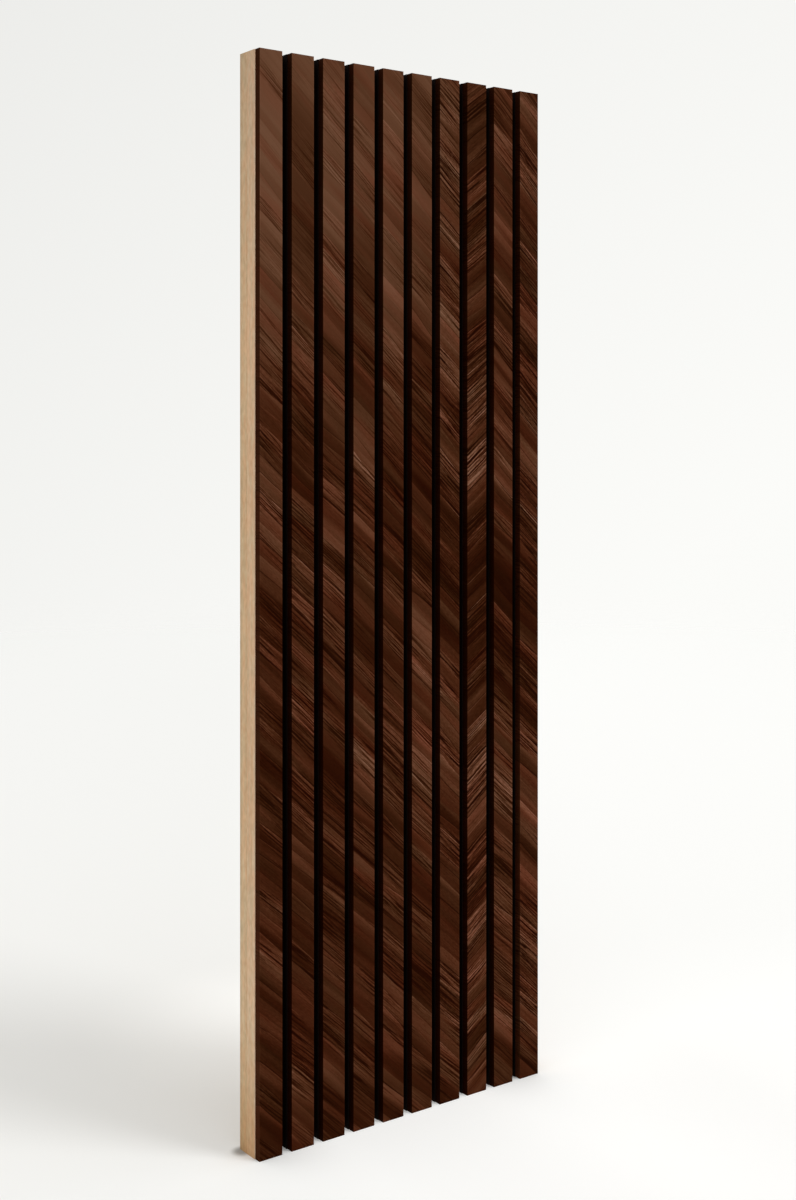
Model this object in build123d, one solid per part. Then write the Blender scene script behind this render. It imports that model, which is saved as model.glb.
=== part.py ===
from build123d import *
import os

# Slat wall panel, in millimetres, standing upright.
# Origin: middle of the bottom end. X runs along the width, to the right as seen from the front.
# The slats face -Y, the flat back faces +Y towards the wall, and Z is up.

# Driving dimensions
panel_width = 400.0
panel_height = 1200.0
slat_count = 10
slat_pitch = 41.0
board_thickness = 15.0
batten_thickness = 16.0
facing_width = 29.0
facing_thickness = 9.0
facing_round = 0.8
raw_edge_chamfer = 0.4

# Wire staples that hold each batten on the board from behind
staple_crown = 5.8
staple_leg = 25.0
staple_bend = 1.0
staple_point = 2.0
staple_tip = 0.25
staple_set_in = 0.3
wire_depth = 1.25
wire_width = 1.05
staple_rows = 4
staple_end_distance = 60.0

# Worked out from the driving dimensions
batten_width = panel_width - (slat_count - 1) * slat_pitch
panel_depth = board_thickness + batten_thickness + facing_thickness
back_y = panel_depth / 2
board_front_y = back_y - board_thickness
batten_front_y = board_front_y - batten_thickness
slat_centres = [(number - (slat_count - 1) / 2) * slat_pitch for number in range(slat_count)]
row_spacing = (panel_height - 2 * staple_end_distance) / (staple_rows - 1)
row_heights = [staple_end_distance + row * row_spacing for row in range(staple_rows)]
staple_top_y = back_y - staple_set_in


def lath(width, thickness, rear_y, centre_x):
    """A straight board on end, from the floor to the panel's full height."""
    section = Rectangle(width, thickness, align=(Align.CENTER, Align.MAX))
    return Pos(centre_x, rear_y, 0) * extrude(section, panel_height)


def raw_lath(width, thickness, rear_y, centre_x):
    """A sawn lath with its four long arrises just broken, which shows each joint as a fine line."""
    sawn = lath(width, thickness, rear_y, centre_x)
    return chamfer(sawn.edges().filter_by(Axis.Z), raw_edge_chamfer)


def staple():
    """A staple with its crown along X, the crown's top at Y = 0 and its two legs towards -Y."""
    below = (Align.CENTER, Align.MAX)
    outer = Rectangle(staple_crown, staple_leg, align=below)
    outer = fillet(outer.vertices().group_by(Axis.Y)[-1], staple_bend)
    inside_width = staple_crown - 2 * wire_depth
    inside = Pos(0, -wire_depth) * Rectangle(inside_width, staple_leg - wire_depth, align=below)
    chisel_cut = make_face(
        Polyline(
            (-inside_width / 2, staple_point - staple_leg),
            (inside_width / 2, staple_point - staple_leg),
            (staple_crown / 2 - staple_tip, -staple_leg),
            (staple_tip - staple_crown / 2, -staple_leg),
            close=True,
        )
    )
    return extrude(outer - inside - chisel_cut, wire_width / 2, both=True)


def staple_places():
    """Where each staple's crown lies: behind the middle of each batten, at every row."""
    return [Pos(x, staple_top_y, z) for x in slat_centres for z in row_heights]


def backing_board():
    """The full-width board, with the slit of every staple and the dent above its sunk crown."""
    board = raw_lath(panel_width, board_thickness, back_y, 0)
    above_crown = (Align.CENTER, Align.MIN, Align.CENTER)
    dent = Box(staple_crown, staple_set_in, wire_width, align=above_crown)
    slit = staple() + dent
    return board - [place * slit for place in staple_places()]


def batten(centre_x):
    """One pale batten with the holes that the staples' legs have made in its back."""
    blank = raw_lath(batten_width, batten_thickness, board_front_y, centre_x)
    wire = staple()
    return blank - [Pos(centre_x, staple_top_y, z) * wire for z in row_heights]


def facing(centre_x):
    """One dark facing, narrower than its batten, with all its front arrises rounded."""
    strip = lath(facing_width, facing_thickness, batten_front_y, centre_x)
    front = strip.faces().sort_by(Axis.Y)[0]
    return fillet(front.edges(), facing_round)


def rear_staples():
    """All the staples, as one group of separate solids."""
    wire = staple()
    return Compound([place * wire for place in staple_places()])


os.makedirs("parts", exist_ok=True)
export_step(backing_board(), "parts/backing_board.step")
export_step(rear_staples(), "parts/rear_staples.step")
for slat, x_centre in enumerate(slat_centres, start=1):
    export_step(batten(x_centre), f"parts/batten_{slat:02d}.step")
    export_step(facing(x_centre), f"parts/facing_{slat:02d}.step")
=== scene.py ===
import functools
import math
from collections import namedtuple

import bpy
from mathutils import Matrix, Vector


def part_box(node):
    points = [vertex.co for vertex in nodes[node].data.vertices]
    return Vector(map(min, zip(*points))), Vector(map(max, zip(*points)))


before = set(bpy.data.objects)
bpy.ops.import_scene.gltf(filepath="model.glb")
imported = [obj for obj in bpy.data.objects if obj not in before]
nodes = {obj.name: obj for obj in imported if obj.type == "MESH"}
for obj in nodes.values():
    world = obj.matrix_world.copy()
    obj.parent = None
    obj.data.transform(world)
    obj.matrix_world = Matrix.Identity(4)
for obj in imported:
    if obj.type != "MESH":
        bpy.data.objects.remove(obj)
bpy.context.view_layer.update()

# The slat wall panel stands upright: X along its width, Y from the slats to the back, Z up.
# Lengths are in metres.
MM = 0.001
SLATS = sorted(name for name in nodes if name.startswith("facing_"))
BATTENS = sorted(name for name in nodes if name.startswith("batten_"))
BOARD = "backing_board"
STAPLES = "rear_staples"

board_low, board_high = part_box(BOARD)
panel_half_width = board_high.x
panel_height = board_high.z
groove_floor_y = board_low.y
back_y = board_high.y
batten_front_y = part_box(BATTENS[0])[0].y
panel_front_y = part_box(SLATS[0])[0].y


# Node tools

# A noise figure: its size along three axes, and its own seed, detail and roughness
Figure = namedtuple("Figure", "sizes seed detail roughness", defaults=(0.0, 2.0, 0.5))


def socket_value(tree, value, socket):
    """Sets a socket to a plain value, or links it to another node's output."""
    if isinstance(value, bpy.types.NodeSocket):
        tree.links.new(value, socket)
    else:
        socket.default_value = value


class Graph:
    """Adds nodes to a material or a world. node returns the new node, the others what it gives out."""

    def __init__(self, tree):
        self.tree = tree

    def node(self, kind, inputs=None, **settings):
        made = self.tree.nodes.new(kind)
        for name, value in settings.items():
            setattr(made, name, value)
        for key, value in (inputs or {}).items():
            socket_value(self.tree, value, made.inputs[key])
        return made

    def math(self, operation, first, second=0.0, clamp=False):
        inputs = {0: first, 1: second}
        return self.node("ShaderNodeMath", inputs, operation=operation, use_clamp=clamp).outputs[0]

    def plus(self, first, second, clamp=False):
        return self.math("ADD", first, second, clamp)

    def minus(self, first, second, clamp=False):
        return self.math("SUBTRACT", first, second, clamp)

    def times(self, first, second):
        return self.math("MULTIPLY", first, second)

    def over(self, first, second, clamp=False):
        return self.math("DIVIDE", first, second, clamp)

    def size_of(self, value):
        return self.math("ABSOLUTE", value)

    def total(self, *values):
        return functools.reduce(self.plus, values)

    def diagonal(self, first, second):
        """How far a point with these two coordinates is from 0."""
        return self.math("SQRT", self.plus(self.math("POWER", first, 2.0), self.math("POWER", second, 2.0)))

    def distance(self, first, second):
        made = self.node("ShaderNodeVectorMath", {0: first, 1: second}, operation="DISTANCE")
        return made.outputs["Value"]

    def blend(self, amount, first, second):
        """A number between two numbers."""
        return self.node("ShaderNodeMix", {0: amount, 2: first, 3: second}, data_type="FLOAT").outputs[0]

    def tint(self, amount, first, second, mode="MIX"):
        """A colour between two colours."""
        inputs = {0: amount, 6: first, 7: second}
        return self.node("ShaderNodeMix", inputs, data_type="RGBA", blend_type=mode).outputs[2]

    def changed(self, amount, colour, change):
        """A colour that is multiplied by a change where the amount is 1."""
        return self.tint(amount, colour, self.tint(1.0, colour, change, "MULTIPLY"))

    def step(self, value, low, high):
        """0 at low, 1 at high and smooth between them."""
        inputs = {0: value, 1: low, 2: high, 3: 0.0, 4: 1.0}
        return self.node("ShaderNodeMapRange", inputs, interpolation_type="SMOOTHSTEP").outputs[0]

    def swing(self, value, amount):
        """A number to either side of 0, from one that lies about 0.5."""
        return self.times(self.minus(value, 0.5), amount)

    def noise(self, vector, seed, detail, roughness):
        values = {"Vector": vector, "W": seed, "Scale": 1.0, "Detail": detail, "Roughness": roughness}
        return self.node("ShaderNodeTexNoise", values, noise_dimensions="4D").outputs[0]

    def figure(self, place, look, seed=0.0):
        """The noise of a figure at a place."""
        scale = tuple(1 / size for size in look.sizes)
        scaled = self.node("ShaderNodeVectorMath", {0: place, 1: scale}, operation="MULTIPLY").outputs[0]
        return self.noise(scaled, seed + look.seed, look.detail, look.roughness)

    def ramp(self, value, stops):
        made = self.node("ShaderNodeValToRGB", {0: value})
        elements = made.color_ramp.elements
        for spare in range(len(stops) - len(elements)):
            elements.new(0.5)
        for element, (position, colour) in zip(elements, stops):
            element.position = position
            element.color = (*colour, 1.0)
        return made.outputs[0]

    def parts(self, vector):
        return tuple(self.node("ShaderNodeSeparateXYZ", {0: vector}).outputs)

    def joined(self, x, y, z):
        return self.node("ShaderNodeCombineXYZ", {0: x, 1: y, 2: z}).outputs[0]

    def bump(self, height, strength, depth):
        inputs = {"Strength": strength, "Distance": depth, "Height": height}
        return self.node("ShaderNodeBump", inputs).outputs[0]


def new_material(name):
    """A material with its graph, its shader and the place and normal of each point of the object."""
    material = bpy.data.materials.new(name)
    material.use_nodes = True
    graph = Graph(material.node_tree)
    shader = material.node_tree.nodes["Principled BSDF"]
    here = graph.node("ShaderNodeTexCoord")
    return material, graph, shader, here.outputs["Object"], here.outputs["Normal"]


def plug(graph, shader, **values):
    """Sets the shader's sockets by name, with _ for a space."""
    for name, value in values.items():
        socket_value(graph.tree, value, shader.inputs[name.replace("_", " ")])


# Walnut

GRAIN_ANGLE = math.radians(-42)
MIRRORED_ANGLE = math.radians(37)
MIRRORED_SLAT = 8
SEED_STEP = 3.7

# The walnut's tone is the natural logarithm of its lightness against WALNUT_MIDDLE,
# and its red, green and blue each follow the tone at a rate of their own.
# What the gloss adds to every colour, GLOSS_HAZE, is taken off beforehand.
WALNUT_MIDDLE = (0.0587, 0.0180, 0.0076)
WALNUT_RATES = (0.88, 1.125, 1.425)
GLOSS_HAZE = 0.0005
DARKEST_TONE = -1.7
LIGHTEST_TONE = 1.4
RAMP_STOPS = 10
USUAL_TONE = -0.13

# Bends of the grain and small waves of the streaks, and how far each moves them
SLOW_BEND = Figure((0.22, 0.22, 0.22), 1.3, 1.0)
SLOW_BEND_REACH = 0.012
QUICK_BEND = Figure((0.060, 0.060, 0.060), 0.7, 1.0)
QUICK_BEND_REACH = 0.002
WAVE = Figure((0.020, 0.014, 0.008), 1.1, 1.0)
WAVE_REACH = 0.0008

# Like WAVE, the walnut's figures from here on have their sizes along the grain, through the thickness
# and across the grain. Only the noise that breaks up the painted arris highlight goes by X, Y and Z.
SHARED_BAND = Figure((0.40, 0.15, 0.021), 5.1, 2.0, 0.4)
SHARED_BAND_EDGE = (0.43, 0.56)
SHARED_BAND_TONE = 0.66

# Layers across the grain, with a warp that is counted in layers
LAYER_THICKNESS = 0.014
LAYER_WARP = Figure((0.25, 0.10, 0.080), 0.0, 1.0)
LAYER_WARP_REACH = 3.4
LAYER_TONE = 0.74
LAYER_SLOPE = 0.34

# Clusters of fine streaks, which mostly keep to a layer
CLUSTER = Figure((0.18, 0.08, 0.034), 4.0, 1.0, 0.4)
CLUSTER_EDGE = (0.43, 0.54)
CLUSTER_BY_LAYER = 0.22
CLUSTER_BY_BAND = 0.08

# Each pair of tones is outside a cluster and inside one, and inside one there are more streaks
STREAK = Figure((0.052, 0.014, 0.0010), 2.0, 1.2, 0.4)
DARK_STREAK_EDGE = (0.42, 0.36)
DARK_STREAK_TONES = (-0.22, -1.55)
MORE_DARK_STREAKS = 0.06
LIGHT_STREAK_EDGE = (0.58, 0.66)
LIGHT_STREAK_TONES = (0.07, 0.42)
MORE_LIGHT_STREAKS = 0.03
WIDE_STREAK = Figure((0.100, 0.030, 0.0045), 3.0)
WIDE_STREAK_TONE = 0.36
PORE = Figure((0.0045, 0.0020, 0.0008), 6.0, 1.0)
PORE_TONES = (0.8, 1.4)

# The lines along some layers' edges: how far up the layer, which layers have one, and its tone
LOWER_LINE = (0.09, 0.02)
LOWER_LINE_CHANCE = (0.45, 0.75)
LOWER_LINE_TONE = -0.85
UPPER_LINE = (0.90, 0.98)
UPPER_LINE_CHANCE = (0.35, 0.75)
UPPER_LINE_TONE = 0.35

# How strong the fine streaks are on each slat. Above STREAKY they stay strong in the paler part too.
STREAK_STRENGTHS = (1.20, 0.98, 0.86, 0.85, 0.92, 0.88, 1.50, 1.62, 0.92, 1.55)
STREAKY = 1.3

# Painted sheen, lighter, plainer and greyer towards the upper left: the corner of the lamp's painted
# reflection, and its reach along X and Z
PAINTED_SHEEN_CORNER = (-0.20, 1.20)
PAINTED_SHEEN_REACH = (0.50, 0.56)
PAINTED_SHEEN_EDGE = (1.0, 0.15)
PAINTED_SHEEN_TONE = 0.95
BANDS_UNDER_PAINTED_SHEEN = 0.20
STREAKS_UNDER_PAINTED_SHEEN = (0.08, 0.48)
STREAKS_UNDER_PAINTED_SHEEN_CHANCE = (0.60, 0.80)
STRONG_STREAKS_UNDER_PAINTED_SHEEN = 0.7
PAINTED_SHEEN_GREYING = 0.40

# Stretches where a slat is lighter or darker than the rest: slat, height, half length, tone
STRETCHES = (
    (1, 0.72, 0.08, 0.15), (1, 0.65, 0.05, -0.25), (1, 0.42, 0.15, -0.55), (1, 0.09, 0.14, -0.50),
    (2, 1.05, 0.12, -0.90), (2, 0.74, 0.16, -0.42), (2, 0.18, 0.10, -0.60), (2, 0.06, 0.04, 0.60),
    (3, 1.17, 0.05, -0.20), (3, 0.86, 0.07, -0.40), (3, 0.42, 0.18, -0.36), (3, 0.16, 0.08, -0.55),
    (4, 1.15, 0.07, -0.20), (4, 0.90, 0.15, -0.65), (4, 0.75, 0.05, 0.55), (4, 0.57, 0.06, -0.45),
    (4, 0.38, 0.06, 0.25), (4, 0.18, 0.16, -0.35), (5, 0.95, 0.07, 0.20), (5, 0.70, 0.10, -0.50),
    (5, 0.45, 0.04, -0.35), (5, 0.27, 0.07, -0.45), (6, 1.12, 0.08, -0.18), (6, 0.80, 0.11, -0.60),
    (6, 0.67, 0.06, -0.50), (6, 0.46, 0.13, 0.52), (6, 0.20, 0.10, -0.60), (7, 0.88, 0.05, 0.65),
    (7, 0.62, 0.15, -0.76), (7, 0.46, 0.06, 0.50), (7, 0.25, 0.12, -0.35), (8, 1.12, 0.20, -0.55),
    (8, 0.76, 0.05, 0.55), (8, 0.57, 0.10, -0.80), (8, 0.36, 0.07, 0.40), (8, 0.17, 0.05, 0.55),
    (9, 1.17, 0.05, -0.20), (9, 0.76, 0.06, 0.30), (9, 0.56, 0.09, -0.78), (9, 0.38, 0.07, 0.45),
    (10, 0.87, 0.06, -0.30), (10, 0.53, 0.11, -0.70), (10, 0.36, 0.07, 0.30),
)
STRETCH_EDGE = (1.25, 0.45)

# Plainer and darker at the foot, where slats further left are darker still, and at the head.
# Each edge is where this starts and, nearer the end, where it is full.
FOOT_HEIGHT = 0.085
FOOT_EDGE = (FOOT_HEIGHT, 0.35 * FOOT_HEIGHT)
FOOT_TONE = -0.17
FOOT_STREAKS = 0.50
HEAD_HEIGHT = 0.040
HEAD_EDGE = (HEAD_HEIGHT, 0.3 * HEAD_HEIGHT)
HEAD_TONE = -0.10
HEAD_STREAKS = 0.65

# The sides and the ends: how much of the figure they keep, and how far a face has to be turned
SIDE_FIGURE = 0.25
TURNED = (0.75, 0.98)
# Painted shade on the sides, deepening towards the foot on the inner sides, and painted floor bounce
# lightening the foot of the outer sides. The ends are darker.
SIDE_PAINTED_SHADE = -1.05
INNER_SIDE_PAINTED_SHADE_AT_FOOT = -0.40
OUTER_SIDE_PAINTED_BOUNCE_AT_FOOT = 0.95
END_TONE = -0.80

# A painted highlight along the long front arrises, broken up by noise: how far in from the side and from the
# front
PAINTED_ARRIS_HIGHLIGHT_WIDTH = (1.5 * MM, 0.6 * MM)
PAINTED_ARRIS_HIGHLIGHT_DEPTH = (1.2 * MM, 0.5 * MM)
PAINTED_ARRIS_HIGHLIGHT_BREAKUP = Figure((0.01, 0.01, 0.03), 8.0)
PAINTED_ARRIS_HIGHLIGHT_BREAKUP_EDGE = (0.25, 0.65)
PAINTED_ARRIS_HIGHLIGHT_TONE = 0.22

# The hue moves between a redder and a greyer brown
REDDER = (1.07, 0.85, 0.79, 1.0)
GREYER = (0.96, 1.13, 1.10, 1.0)
OLIVE = Figure((0.09, 0.05, 0.014), 9.0)
OLIVE_EDGE = (0.30, 0.65)
OLIVE_BY_LAYER = 0.5

WALNUT_RELIEF = 0.2 * MM
WALNUT_RELIEF_STRENGTH = 0.25
STREAK_RELIEF = 0.6
PORE_RELIEF = 0.4
WALNUT_ROUGHNESS = (0.65, 0.45)
WALNUT_GLOSS = 0.006

Layer = namedtuple("Layer", "height tone streaks hue")


def walnut_colour(tone):
    plain = [middle * math.exp(rate * tone) for middle, rate in zip(WALNUT_MIDDLE, WALNUT_RATES)]
    return tuple(max(value - GLOSS_HAZE, 0.0) for value in plain)


def walnut_ramp():
    """Stops at even steps from the darkest tone to the lightest."""
    shares = [stop / (RAMP_STOPS - 1) for stop in range(RAMP_STOPS)]
    span = LIGHTEST_TONE - DARKEST_TONE
    return [(share, walnut_colour(DARKEST_TONE + share * span)) for share in shares]


def grain_places(graph, place, angle, seed):
    """How far across the grain a point is, first straight and then with bends, and its two grain places."""
    turned = graph.node("ShaderNodeVectorRotate", {"Vector": place, "Angle": angle}, rotation_type="Y_AXIS")
    along, through, straight = graph.parts(turned.outputs[0])
    slow_bend = graph.swing(graph.figure(place, SLOW_BEND), SLOW_BEND_REACH)
    quick_bend = graph.swing(graph.figure(place, QUICK_BEND, seed), QUICK_BEND_REACH)
    across = graph.total(straight, slow_bend, quick_bend)
    grain = graph.joined(along, through, across)
    wave = graph.swing(graph.figure(grain, WAVE, seed), WAVE_REACH)
    waved = graph.joined(along, through, graph.plus(across, wave))
    return straight, across, grain, waved


def layer_at(graph, across, grain, seed):
    """The flat layer across the grain: how far up it a point is, and three chances of that layer."""
    warp = graph.swing(graph.figure(grain, LAYER_WARP, seed), LAYER_WARP_REACH)
    count = graph.plus(graph.over(across, LAYER_THICKNESS), warp)
    own = graph.plus(graph.math("FLOOR", count), seed)
    chances = graph.node("ShaderNodeTexWhiteNoise", {"W": own}, noise_dimensions="1D").outputs["Color"]
    return Layer(graph.math("FRACT", count), *graph.parts(chances))


def slat_stretches(graph, straight, slat, middle_x, angle):
    """The slat's own light and dark stretches, which end along the grain."""
    tone = 0.0
    for number, height, half_length, strength in STRETCHES:
        if number != slat:
            continue
        middle = height * math.cos(angle) - middle_x * math.sin(angle)
        reach = half_length * math.cos(angle)
        off = graph.size_of(graph.minus(straight, middle))
        share = graph.step(off, reach * STRETCH_EDGE[0], reach * STRETCH_EDGE[1])
        tone = graph.plus(tone, graph.times(share, strength))
    return tone


def broad_bands(graph, shared, layer):
    """The tone of the bands that run on from slat to slat, and of the layers with their sharp upper edges."""
    return graph.total(graph.swing(shared, SHARED_BAND_TONE), graph.swing(layer.tone, LAYER_TONE),
                       graph.swing(layer.height, LAYER_SLOPE))


def fine_streaks(graph, streak, pore, wide_streak, cluster, layer):
    """The tone of the fine streaks and pores, and of the lines along some layers' edges."""
    dark = graph.step(graph.minus(streak, graph.times(cluster, MORE_DARK_STREAKS)), *DARK_STREAK_EDGE)
    light = graph.step(graph.plus(streak, graph.times(cluster, MORE_LIGHT_STREAKS)), *LIGHT_STREAK_EDGE)
    has_lower_line = graph.step(layer.hue, *LOWER_LINE_CHANCE)
    lower_line = graph.times(graph.step(layer.height, *LOWER_LINE), has_lower_line)
    has_upper_line = graph.step(layer.streaks, *UPPER_LINE_CHANCE)
    upper_line = graph.times(graph.step(layer.height, *UPPER_LINE), has_upper_line)
    return graph.total(
        graph.times(dark, graph.blend(cluster, *DARK_STREAK_TONES)),
        graph.times(light, graph.blend(cluster, *LIGHT_STREAK_TONES)),
        graph.swing(wide_streak, WIDE_STREAK_TONE),
        graph.swing(pore, graph.blend(cluster, *PORE_TONES)),
        graph.times(lower_line, LOWER_LINE_TONE),
        graph.times(upper_line, UPPER_LINE_TONE),
    )


def front_tone(graph, slat, x, z, middle_x, layer, bands, fine, stretches):
    """The tone of a slat's face, plainer at both ends and with a painted sheen towards the upper left, and
    the share of that sheen.
    """
    painted_sheen_x = graph.over(graph.minus(x, PAINTED_SHEEN_CORNER[0]), PAINTED_SHEEN_REACH[0])
    painted_sheen_z = graph.over(graph.minus(PAINTED_SHEEN_CORNER[1], z), PAINTED_SHEEN_REACH[1])
    painted_sheen = graph.step(graph.diagonal(painted_sheen_x, painted_sheen_z), *PAINTED_SHEEN_EDGE)
    foot = graph.step(z, *FOOT_EDGE)
    head = graph.step(graph.minus(panel_height, z), *HEAD_EDGE)

    strength = STREAK_STRENGTHS[slat - 1]
    if strength > STREAKY:
        kept = STRONG_STREAKS_UNDER_PAINTED_SHEEN
    else:
        kept = graph.blend(graph.step(layer.streaks, *STREAKS_UNDER_PAINTED_SHEEN_CHANCE), *STREAKS_UNDER_PAINTED_SHEEN)
    fine = graph.times(fine, strength)
    fine = graph.times(fine, graph.blend(foot, 1.0, FOOT_STREAKS))
    fine = graph.times(fine, graph.blend(head, 1.0, HEAD_STREAKS))

    tone = graph.total(
        graph.times(bands, graph.blend(painted_sheen, 1.0, BANDS_UNDER_PAINTED_SHEEN)),
        USUAL_TONE,
        graph.times(fine, graph.blend(painted_sheen, 1.0, kept)),
        graph.times(painted_sheen, PAINTED_SHEEN_TONE),
        graph.times(foot, FOOT_TONE * (1 - middle_x / panel_half_width)),
        graph.times(head, HEAD_TONE),
        stretches,
    )
    return tone, painted_sheen


def tone_by_face(graph, slat, z, normal, tone):
    """The face's tone, with the slat's ends darker and its sides darkened by painted shade, deeper at the
    foot of the inner sides, while painted floor bounce lightens the foot of the outer sides. Sides and ends
    are quieter.
    """
    normal_x, normal_y, normal_z = graph.parts(normal)
    quiet = graph.times(tone, SIDE_FIGURE)
    # Painted shade deepens towards the foot on inner sides; painted floor bounce lightens the outer sides
    # there.
    outer = slat in (1, len(SLATS))
    lower = graph.minus(1.0, graph.over(z, panel_height))
    at_foot = graph.times(lower, OUTER_SIDE_PAINTED_BOUNCE_AT_FOOT if outer else INNER_SIDE_PAINTED_SHADE_AT_FOOT)
    side_tone = graph.total(quiet, at_foot, SIDE_PAINTED_SHADE)
    tone = graph.blend(graph.step(graph.size_of(normal_x), *TURNED), tone, side_tone)
    end_tone = graph.plus(quiet, END_TONE)
    return graph.blend(graph.step(graph.size_of(normal_z), *TURNED), tone, end_tone)


def painted_arris_highlights(graph, place, low, high, seed):
    """The tone of the painted highlight along the slat's two long front arrises, broken up by noise."""
    x, y, z = graph.parts(place)
    from_middle = graph.size_of(graph.minus(x, (low.x + high.x) / 2))
    half_width = (high.x - low.x) / 2
    near_side = graph.step(from_middle, half_width - PAINTED_ARRIS_HIGHLIGHT_WIDTH[0], half_width - PAINTED_ARRIS_HIGHLIGHT_WIDTH[1])
    near_front = graph.step(y, low.y + PAINTED_ARRIS_HIGHLIGHT_DEPTH[0], low.y + PAINTED_ARRIS_HIGHLIGHT_DEPTH[1])
    broken_up = graph.step(graph.figure(place, PAINTED_ARRIS_HIGHLIGHT_BREAKUP, seed), *PAINTED_ARRIS_HIGHLIGHT_BREAKUP_EDGE)
    return graph.times(graph.times(graph.times(near_side, near_front), broken_up), PAINTED_ARRIS_HIGHLIGHT_TONE)


def walnut(slat, low, high):
    """Dark walnut with diagonal figure: bands that run on from slat to slat, and streaks in clusters."""
    material, graph, shader, place, normal = new_material(f"walnut_{slat:02d}")
    x, y, z = graph.parts(place)
    seed = SEED_STEP * slat
    middle_x = (low.x + high.x) / 2
    angle = MIRRORED_ANGLE if slat == MIRRORED_SLAT else GRAIN_ANGLE
    straight, across, grain, waved = grain_places(graph, place, angle, seed)

    shared = graph.step(graph.figure(grain, SHARED_BAND), *SHARED_BAND_EDGE)
    layer = layer_at(graph, across, grain, seed)
    bands = broad_bands(graph, shared, layer)
    stretches = slat_stretches(graph, straight, slat, middle_x, angle)

    streak = graph.figure(waved, STREAK, seed)
    pore = graph.figure(waved, PORE, seed)
    wide_streak = graph.figure(waved, WIDE_STREAK, seed)
    cluster = graph.total(graph.figure(grain, CLUSTER, seed), graph.swing(layer.streaks, CLUSTER_BY_LAYER),
                          graph.swing(shared, CLUSTER_BY_BAND))
    cluster = graph.step(cluster, *CLUSTER_EDGE)
    fine = fine_streaks(graph, streak, pore, wide_streak, cluster, layer)

    # The face gets a painted sheen towards the upper left, painted shade on its sides and a painted highlight
    # along its front arrises.
    tone, painted_sheen = front_tone(graph, slat, x, z, middle_x, layer, bands, fine, stretches)
    tone = tone_by_face(graph, slat, z, normal, tone)
    tone = graph.plus(tone, painted_arris_highlights(graph, place, low, high, seed))
    share = graph.over(graph.minus(tone, DARKEST_TONE), LIGHTEST_TONE - DARKEST_TONE, clamp=True)
    colour = graph.ramp(share, walnut_ramp())

    olive = graph.step(graph.figure(grain, OLIVE, seed), *OLIVE_EDGE)
    olive = graph.blend(OLIVE_BY_LAYER, olive, layer.hue)
    # The painted sheen is greyer as well.
    olive = graph.plus(olive, graph.times(painted_sheen, PAINTED_SHEEN_GREYING), clamp=True)
    redder = graph.tint(1.0, colour, REDDER, "MULTIPLY")
    greyer = graph.tint(1.0, colour, GREYER, "MULTIPLY")
    colour = graph.tint(olive, redder, greyer)

    relief = graph.plus(graph.times(streak, STREAK_RELIEF), graph.times(pore, PORE_RELIEF))
    plug(graph, shader, Base_Color=colour, Normal=graph.bump(relief, WALNUT_RELIEF_STRENGTH, WALNUT_RELIEF),
         Roughness=graph.blend(pore, *WALNUT_ROUGHNESS), Specular_IOR_Level=WALNUT_GLOSS)
    return material


# Pale wood of the board and the battens

PALE_LIGHT = {"board": (0.624, 0.429, 0.255, 1.0), "batten": (0.652, 0.450, 0.284, 1.0)}
PALE_DARK = {"board": (0.495, 0.324, 0.181, 1.0), "batten": (0.523, 0.344, 0.204, 1.0)}
PALE_REDDER = (1.035, 0.965, 0.940, 1.0)
PALE_GREENER = (0.970, 1.030, 1.060, 1.0)

# Growth rings about an upright axis that stands off the piece, which drift a little on their way up
RING_WIDTH = 0.0032
RING_SEED = 1.0
RING_DETAIL = 2.0
RING_ROUGHNESS = 0.55
RING_DRIFT = Figure((0.30, 0.30, 0.55))
RING_DRIFT_REACH = 0.012
BOARD_RING_AXIS = (0.05, 0.16)
BATTEN_RING_AXIS_ASIDE = 0.045
BATTEN_RING_AXIS_BEHIND = 0.055
BOARD_SEED = 31.7
BATTEN_SEED = 11.3

FIBRE = Figure((0.0009, 0.0009, 0.070), 2.0, 2.0, 0.6)
PATCH = Figure((0.006, 0.006, 0.16), 3.0, 1.0)
MOTTLE = Figure((0.0035, 0.0035, 0.0075), 5.0, 1.0)
HUE = Figure((0.0040, 0.0040, 0.0200), 6.0, 1.0)
RING_EDGE = (0.30, 0.72)
FIBRE_EDGE = (0.25, 0.75)
PATCH_EDGE = (0.3, 0.7)
HUE_EDGE = (0.3, 0.7)
FIBRE_SHARE = 0.45
PATCH_SHARE = 0.35
MOTTLE_SWING = 1.8

# The panel's sides are duller near the top end and paler low down, and painted shade makes them warmer and
# darker where they stand
PALE_TOP = (0.83, 0.85, 0.885, 1.0)
PALE_TOP_REACH = 0.32
PALE_LOWER = (1.07, 1.135, 1.20, 1.0)
PALE_LOWER_REACH = 0.42
PALE_FOOT_PAINTED_SHADE = (0.76, 0.65, 0.52, 1.0)
PALE_FOOT_PAINTED_SHADE_REACH = 0.15
ON_SIDE = (0.5, 0.9)

# Painted shade along the rear arris, and a little painted highlight along the front one
PALE_BACK_EDGE_PAINTED_SHADE = (0.89, 0.94, 0.97, 1.0)
PALE_BACK_EDGE_PAINTED_SHADE_REACH = (8.0 * MM, 3.0 * MM)
PALE_FRONT_EDGE_PAINTED_HIGHLIGHT = (1.04, 1.05, 1.12, 1.0)
PALE_FRONT_EDGE_PAINTED_HIGHLIGHT_REACH = (2.6 * MM, 1.4 * MM)

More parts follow.
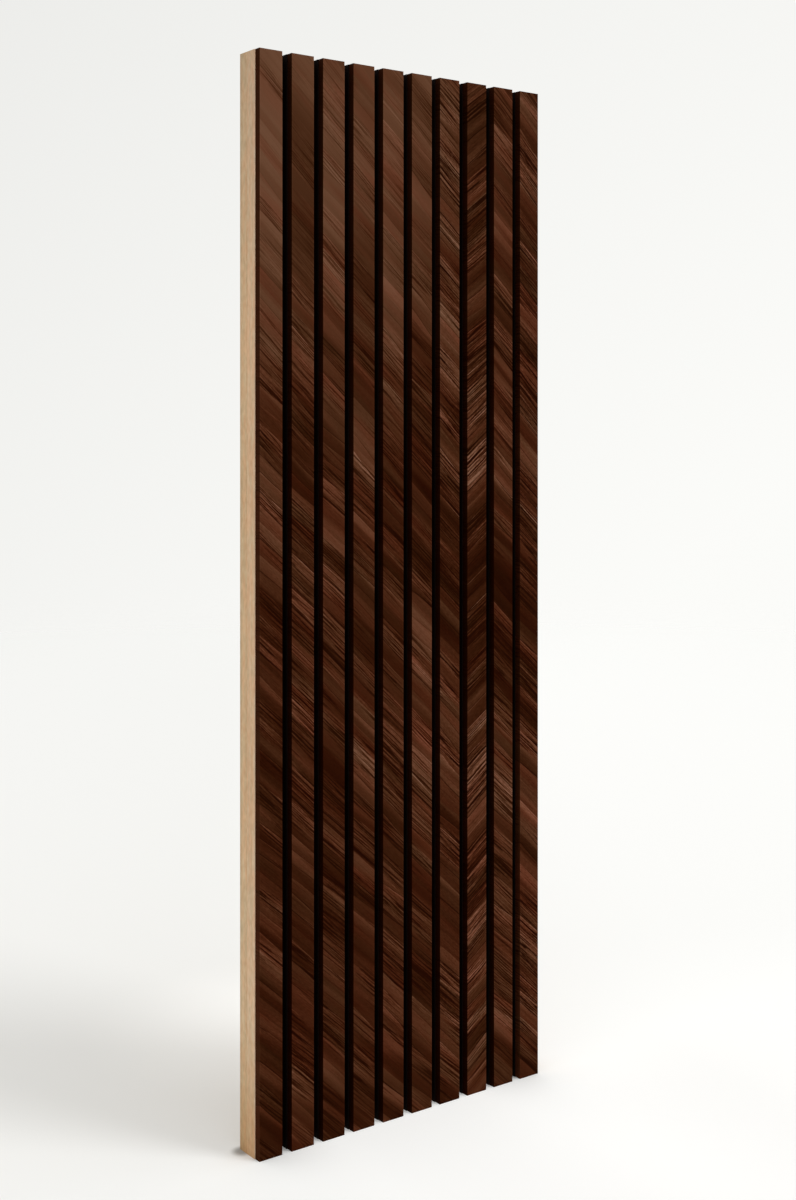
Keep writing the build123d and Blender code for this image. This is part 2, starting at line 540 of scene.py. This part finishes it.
# The black stain in the grooves, which ends inside the panel's sides and at the groove's floor
BLACK_STAIN = {"board": (0.0130, 0.0060, 0.0060, 1.0), "batten": (0.0042, 0.0022, 0.0018, 1.0)}
WORN_STAIN = {"board": (0.0180, 0.0085, 0.0080, 1.0), "batten": (0.0080, 0.0040, 0.0030, 1.0)}
STAIN_WEAR = Figure((0.004, 0.004, 0.05), 4.0)
STAIN_FROM_SIDE = (1.0 * MM, 1.4 * MM)
STAIN_FROM_FLOOR = (0.6 * MM, 0.2 * MM)
LONG_FACE = (0.7, 0.3)

PALE_RELIEF = 0.15 * MM
PALE_RELIEF_STRENGTH = 0.2
RING_RELIEF = 0.5
FIBRE_RELIEF = 0.5
PALE_ROUGHNESS = (0.62, 0.78)
PALE_GLOSS = 0.03


def ring_noise(graph, x, y, ring_axis, drift, seed):
    """The growth rings, light and dark by their distance from the axis."""
    radius = graph.diagonal(graph.minus(x, ring_axis[0]), graph.minus(y, ring_axis[1]))
    radius = graph.plus(radius, graph.times(drift, RING_DRIFT_REACH))
    across = graph.joined(graph.over(radius, RING_WIDTH), 0.0, 0.0)
    return graph.noise(across, seed + RING_SEED, RING_DETAIL, RING_ROUGHNESS)


def pale_by_height_and_painted_light(graph, colour, y, z, normal_x):
    """The pale colour with its changes by height along the panel's sides, with painted shade at their foot
    and along the rear arris and a painted highlight along the front arris.
    """
    on_side = graph.step(graph.size_of(normal_x), *ON_SIDE)
    from_top = graph.minus(panel_height, z)
    for height, reach, change in ((from_top, PALE_TOP_REACH, PALE_TOP), (z, PALE_LOWER_REACH, PALE_LOWER),
                                  (z, PALE_FOOT_PAINTED_SHADE_REACH, PALE_FOOT_PAINTED_SHADE)):
        near = graph.minus(1.0, graph.over(height, reach), clamp=True)
        colour = graph.changed(graph.times(near, on_side), colour, change)
    at_back = graph.step(y, back_y - PALE_BACK_EDGE_PAINTED_SHADE_REACH[0], back_y - PALE_BACK_EDGE_PAINTED_SHADE_REACH[1])
    colour = graph.changed(at_back, colour, PALE_BACK_EDGE_PAINTED_SHADE)
    at_front = graph.step(y, batten_front_y + PALE_FRONT_EDGE_PAINTED_HIGHLIGHT_REACH[0],
                          batten_front_y + PALE_FRONT_EDGE_PAINTED_HIGHLIGHT_REACH[1])
    return graph.changed(at_front, colour, PALE_FRONT_EDGE_PAINTED_HIGHLIGHT)


def stained_share(graph, x, y, normal_z):
    """1 inside the grooves and 0 on the sawn ends, the panel's sides and its back."""
    inside = graph.step(graph.size_of(x), panel_half_width - STAIN_FROM_SIDE[0],
                        panel_half_width - STAIN_FROM_SIDE[1])
    ahead = graph.step(y, groove_floor_y + STAIN_FROM_FLOOR[0], groove_floor_y + STAIN_FROM_FLOOR[1])
    long_face = graph.step(graph.size_of(normal_z), *LONG_FACE)
    return graph.times(graph.times(inside, ahead), long_face)


def pale_wood(name, kind, seed, ring_axis):
    """Pale straight-grained wood, stained black where it forms a groove. Its ends show the growth rings."""
    material, graph, shader, place, normal = new_material(name)
    x, y, z = graph.parts(place)
    normal_x, normal_y, normal_z = graph.parts(normal)
    rings = ring_noise(graph, x, y, ring_axis, graph.figure(place, RING_DRIFT, seed), seed)
    fibre = graph.figure(place, FIBRE, seed)

    tone = graph.blend(FIBRE_SHARE, graph.step(rings, *RING_EDGE), graph.step(fibre, *FIBRE_EDGE))
    patch = graph.step(graph.figure(place, PATCH, seed), *PATCH_EDGE)
    tone = graph.blend(PATCH_SHARE, tone, patch)
    tone = graph.plus(tone, graph.swing(graph.figure(place, MOTTLE, seed), MOTTLE_SWING), clamp=True)
    colour = graph.tint(tone, PALE_DARK[kind], PALE_LIGHT[kind])
    hue = graph.step(graph.figure(place, HUE, seed), *HUE_EDGE)
    colour = graph.tint(1.0, colour, graph.tint(hue, PALE_REDDER, PALE_GREENER), "MULTIPLY")
    # Changes by height along the sides, with painted shade at the foot and rear arris and a painted highlight
    # at the front arris.
    colour = pale_by_height_and_painted_light(graph, colour, y, z, normal_x)
    black = graph.tint(graph.figure(place, STAIN_WEAR, seed), BLACK_STAIN[kind], WORN_STAIN[kind])
    colour = graph.tint(stained_share(graph, x, y, normal_z), colour, black)

    relief = graph.plus(graph.times(rings, RING_RELIEF), graph.times(fibre, FIBRE_RELIEF))
    plug(graph, shader, Base_Color=colour, Normal=graph.bump(relief, PALE_RELIEF_STRENGTH, PALE_RELIEF),
         Roughness=graph.blend(fibre, *PALE_ROUGHNESS), Specular_IOR_Level=PALE_GLOSS)
    return material


# Galvanised wire of the staples

ZINC_DARK = (0.36, 0.36, 0.37, 1.0)
ZINC_LIGHT = (0.62, 0.62, 0.63, 1.0)
ZINC_MOTTLE = Figure((0.0015, 0.0015, 0.0015), 2.2, 3.0, 0.6)
ZINC_ROUGHNESS = (0.30, 0.50)


def zinc():
    """Galvanised wire, slightly mottled."""
    material, graph, shader, place, normal = new_material("zinc_wire")
    mottle = graph.figure(place, ZINC_MOTTLE)
    plug(graph, shader, Base_Color=graph.tint(mottle, ZINC_DARK, ZINC_LIGHT), Metallic=1.0,
         Roughness=graph.blend(mottle, *ZINC_ROUGHNESS))
    return material


def give(node_name, material):
    """Gives a node one material in place of all that it had."""
    slots = nodes[node_name].data.materials
    slots.clear()
    slots.append(material)


def finish_surfaces():
    for number, name in enumerate(SLATS, start=1):
        give(name, walnut(number, *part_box(name)))
    for number, name in enumerate(BATTENS, start=1):
        low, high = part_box(name)
        aside = (-1) ** number * BATTEN_RING_AXIS_ASIDE
        axis = ((low.x + high.x) / 2 + aside, high.y + BATTEN_RING_AXIS_BEHIND)
        give(name, pale_wood(f"pale_batten_{number:02d}", "batten", BATTEN_SEED + number, axis))
    give(BOARD, pale_wood("pale_board", "board", BOARD_SEED, BOARD_RING_AXIS))
    give(STAPLES, zinc())


# The studio

SKY_LIGHT = (0.925, 0.925, 0.912, 1.0)
SUN_PLACE = (1.0, -1.4, 2.0)
SUN_AZIMUTH = math.radians(34.5)
SUN_ELEVATION = math.radians(50)
SUN_STRENGTH = 0.90
SUN_SPREAD = math.radians(20)

# The floor is solid up to one radius and fades away just before its rim at the other
FLOOR_CLEAR_RADIUS = 2.5
FLOOR_FADE_RADIUS = 6.0
FLOOR_FADE_MARGIN = 0.2
FLOOR_CORNERS = 96
FLOOR_ROUGHNESS = 0.9

# Painted light: its colour grows paler from left to right as the camera sees it, and it is paler in one wide
# painted pool of light
FLOOR_LEFT = (0.806, 0.806, 0.794, 1.0)
FLOOR_RIGHT = (0.860, 0.860, 0.850, 1.0)
FLOOR_TO_RIGHT = (0.8, 0.6)
FLOOR_HALF_TURN = 0.45
FLOOR_PAINTED_POOL = (0.935, 0.930, 0.920, 1.0)
FLOOR_PAINTED_POOL_MIDDLE = (0.45, -0.55, 0.0)
FLOOR_PAINTED_POOL_EDGE = (0.95, 0.1)

# A small painted contact shadow where the panel's left side stands
CONTACT_MIDDLE = (-0.200, 0.014, 0.0)
CONTACT_REACH = 0.016
CONTACT_EDGE = (CONTACT_REACH, 0.3 * CONTACT_REACH)
CONTACT_PAINTED_SHADOW = (0.42, 0.40, 0.38, 1.0)

# Painted light: the floor glows faintly before the panel in place of the shade there, and glows in a lighter
# patch behind it
GLOW_TINT = (1.0, 1.0, 0.98, 1.0)
GLOW = 0.27
GLOW_HALF_WIDTH = 0.10
GLOW_REACH = 0.60
GLOW_FALL = 1.6
GLOW_ASIDE_RATE = 2.0
GLOW_SOFT_END = (0.05, -0.09)
GLOW_INNER_SHARE = 0.5
BACK_GLOW = 0.10
BACK_GLOW_MIDDLE = (0.03, 0.31, 0.0)
BACK_GLOW_EDGE = (0.28, 0.03)

# The backdrop's lightness straight ahead at the horizon, and how it changes to the right and upwards
BACKDROP_LIGHT = 0.888
BACKDROP_AIM = 0.38
BACKDROP_TO_RIGHT = 0.20
BACKDROP_UPWARDS = -0.15
BACKDROP_LIMITS = (0.82, 0.97)
BACKDROP_TINT = (1.0, 1.0, 0.975, 1.0)


def floor_colour(graph, place, x, y):
    """Pale, with painted light making it a little paler on the right and in a wide pool, and a painted
    contact shadow where the panel's left side stands.
    """
    to_right = graph.minus(graph.times(x, FLOOR_TO_RIGHT[0]), graph.times(y, FLOOR_TO_RIGHT[1]))
    turn = graph.step(to_right, -FLOOR_HALF_TURN, FLOOR_HALF_TURN)
    colour = graph.tint(turn, FLOOR_LEFT, FLOOR_RIGHT)
    near = graph.step(graph.distance(place, FLOOR_PAINTED_POOL_MIDDLE), *FLOOR_PAINTED_POOL_EDGE)
    colour = graph.tint(near, colour, FLOOR_PAINTED_POOL)
    contact = graph.step(graph.distance(place, CONTACT_MIDDLE), *CONTACT_EDGE)
    return graph.changed(contact, colour, CONTACT_PAINTED_SHADOW)


def front_glow(graph, x, y):
    """The painted light that the floor gives off before the panel, strongest before the panel's middle. It
    ends softly to either side and sharply at the board.
    """
    aside = graph.math("MAXIMUM", graph.minus(graph.size_of(x), GLOW_HALF_WIDTH), 0.0)
    off = graph.joined(graph.times(aside, GLOW_ASIDE_RATE), graph.minus(y, panel_front_y), 0.0)
    away = graph.node("ShaderNodeVectorMath", {0: off}, operation="LENGTH").outputs["Value"]
    glow = graph.minus(1.0, graph.over(away, GLOW_REACH), clamp=True)
    glow = graph.times(graph.math("POWER", glow, GLOW_FALL), GLOW)
    soft_end = graph.step(y, *GLOW_SOFT_END)
    sharp_end = graph.math("LESS_THAN", y, groove_floor_y)
    between = graph.step(graph.size_of(x), panel_half_width, GLOW_INNER_SHARE * panel_half_width)
    return graph.times(glow, graph.blend(between, soft_end, sharp_end))


def back_glow(graph, place, y):
    """The lighter patch of painted light that the floor gives off, only behind the panel."""
    glow = graph.times(graph.step(graph.distance(place, BACK_GLOW_MIDDLE), *BACK_GLOW_EDGE), BACK_GLOW)
    return graph.times(glow, graph.math("GREATER_THAN", y, back_y))


def floor():
    """A pale floor, with painted light and a painted contact shadow near the panel, that fades into the
    backdrop far from the panel.
    """
    bpy.ops.mesh.primitive_circle_add(vertices=FLOOR_CORNERS, radius=FLOOR_FADE_RADIUS, fill_type="NGON")
    disc = bpy.context.object
    disc.name = "studio_floor"
    material, graph, shader, place, normal = new_material("studio_floor")
    x, y, z = graph.parts(place)
    far = graph.step(graph.diagonal(x, y), FLOOR_CLEAR_RADIUS, FLOOR_FADE_RADIUS - FLOOR_FADE_MARGIN)
    # Its glow is painted light.
    plug(graph, shader, Base_Color=floor_colour(graph, place, x, y), Roughness=FLOOR_ROUGHNESS,
         Specular_IOR_Level=0.0, Alpha=graph.minus(1.0, far), Emission_Color=GLOW_TINT,
         Emission_Strength=graph.plus(front_glow(graph, x, y), back_glow(graph, place, y)))
    disc.data.materials.append(material)


def surround():
    """Even light from all round, and a very pale backdrop behind it, a little darker on the left."""
    world = bpy.data.worlds.new("studio")
    world.use_nodes = True
    bpy.context.scene.world = world
    graph = Graph(world.node_tree)
    output = world.node_tree.nodes["World Output"]
    light = world.node_tree.nodes["Background"]
    light.inputs["Color"].default_value = SKY_LIGHT
    direction = graph.node("ShaderNodeTexCoord").outputs["Generated"]
    x, y, z = graph.parts(direction)
    to_right = graph.times(graph.minus(x, BACKDROP_AIM), BACKDROP_TO_RIGHT)
    strength = graph.total(to_right, graph.times(z, BACKDROP_UPWARDS), BACKDROP_LIGHT)
    strength = graph.math("MINIMUM", graph.math("MAXIMUM", strength, BACKDROP_LIMITS[0]), BACKDROP_LIMITS[1])
    backdrop = graph.node("ShaderNodeBackground", {"Color": BACKDROP_TINT, "Strength": strength})
    seen = graph.node("ShaderNodeLightPath").outputs["Is Camera Ray"]
    mixed = graph.node("ShaderNodeMixShader", {0: seen, 1: light.outputs[0], 2: backdrop.outputs[0]})
    graph.tree.links.new(mixed.outputs[0], output.inputs["Surface"])


def key_light():
    """A broad light high in front, a little to the right, whose soft shadow falls behind the panel's left."""
    lamp = bpy.data.lights.new("key_light", "SUN")
    lamp.energy = SUN_STRENGTH
    lamp.angle = SUN_SPREAD
    lit = bpy.data.objects.new("key_light", lamp)
    lit.location = SUN_PLACE
    lit.rotation_euler = (math.radians(90) - SUN_ELEVATION, 0.0, SUN_AZIMUTH)
    bpy.context.scene.collection.objects.link(lit)


CAMERA_PLACE = (-1.0916, -1.4826, 0.7868)
CAMERA_TURN = math.radians(36.376)
CLIP_START = 0.01
PICTURE_HEIGHT = 1200
FOCAL_PIXELS = 1586.0
HORIZON_ROW = 431.2
SENSOR_HEIGHT = 36.0


def camera():
    """A level camera at the panel's left front, shifted down so that the upright edges stay upright."""
    lens = bpy.data.cameras.new("camera")
    lens.sensor_fit = "VERTICAL"
    lens.sensor_height = SENSOR_HEIGHT
    lens.lens = FOCAL_PIXELS / PICTURE_HEIGHT * SENSOR_HEIGHT
    lens.shift_y = (HORIZON_ROW - PICTURE_HEIGHT / 2) / PICTURE_HEIGHT
    lens.clip_start = CLIP_START
    stand = bpy.data.objects.new("camera", lens)
    stand.location = CAMERA_PLACE
    stand.rotation_euler = (math.radians(90), 0.0, -CAMERA_TURN)
    bpy.context.scene.collection.objects.link(stand)
    bpy.context.scene.camera = stand


bpy.context.scene.view_settings.view_transform = "Standard"
finish_surfaces()
floor()
surround()
key_light()
camera()
